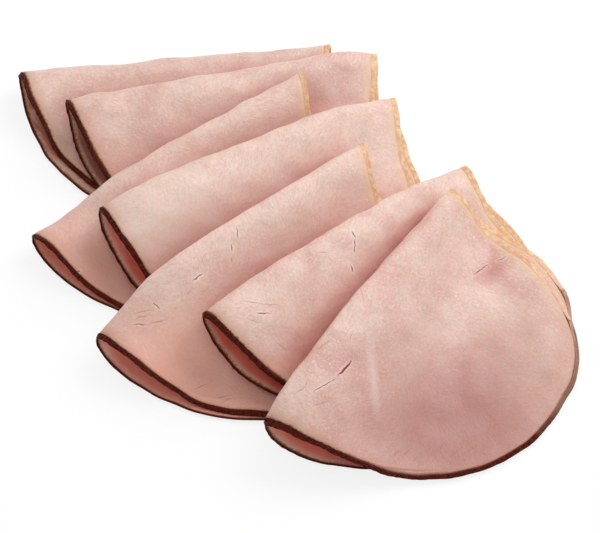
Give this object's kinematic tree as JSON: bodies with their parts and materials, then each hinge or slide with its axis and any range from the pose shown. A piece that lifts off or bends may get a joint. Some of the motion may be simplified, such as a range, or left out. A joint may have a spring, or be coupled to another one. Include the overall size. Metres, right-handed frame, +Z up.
{
  "type": "fan of folded ham slices",
  "caption": "Folded slices of smoked ham, each with lean meat, a dark smoked rind and a strip of fat along its edge, laid on each other in a shingled fan.",
  "frame": {"origin": "middle of the fan's box in plan, on the surface that the fan lies on", "axes": "+Z up from the surface, +X along the fan's longest side, from the rind ends of the folds to their fat ends, +Y towards the back of the fan"},
  "size_m": [0.2728, 0.2484, 0.0413],
  "materials": {
    "lean": "moist satin",
    "rind": "grainy, smoked",
    "fat": "soft satin"
  },
  "bodies": {
    "slice_1": {"slice_1_lean": "lean", "slice_1_rind": "rind", "slice_1_fat": "fat"},
    "slice_2": {"slice_2_lean": "lean", "slice_2_rind": "rind", "slice_2_fat": "fat"},
    "slice_3": {"slice_3_lean": "lean", "slice_3_rind": "rind", "slice_3_fat": "fat"},
    "slice_4": {"slice_4_lean": "lean", "slice_4_rind": "rind", "slice_4_fat": "fat"},
    "slice_5": {"slice_5_lean": "lean", "slice_5_rind": "rind", "slice_5_fat": "fat"},
    "slice_6": {"slice_6_lean": "lean", "slice_6_rind": "rind", "slice_6_fat": "fat"},
    "slice_7": {"slice_7_lean": "lean", "slice_7_rind": "rind", "slice_7_fat": "fat"}
  },
  "joints": [
    {"name": "lift_2", "type": "slide", "parent": "slice_1", "child": "slice_2", "axis": [0, 0, 1], "range_m": [0, 0.08]},
    {"name": "lift_3", "type": "slide", "parent": "slice_2", "child": "slice_3", "axis": [0, 0, 1], "range_m": [0, 0.08]},
    {"name": "lift_4", "type": "slide", "parent": "slice_3", "child": "slice_4", "axis": [0, 0, 1], "range_m": [0, 0.08]},
    {"name": "lift_5", "type": "slide", "parent": "slice_4", "child": "slice_5", "axis": [0, 0, 1], "range_m": [0, 0.08]},
    {"name": "lift_6", "type": "slide", "parent": "slice_5", "child": "slice_6", "axis": [0, 0, 1], "range_m": [0, 0.08]},
    {"name": "lift_7", "type": "slide", "parent": "slice_6", "child": "slice_7", "axis": [0, 0, 1], "range_m": [0, 0.08]}
  ]
}
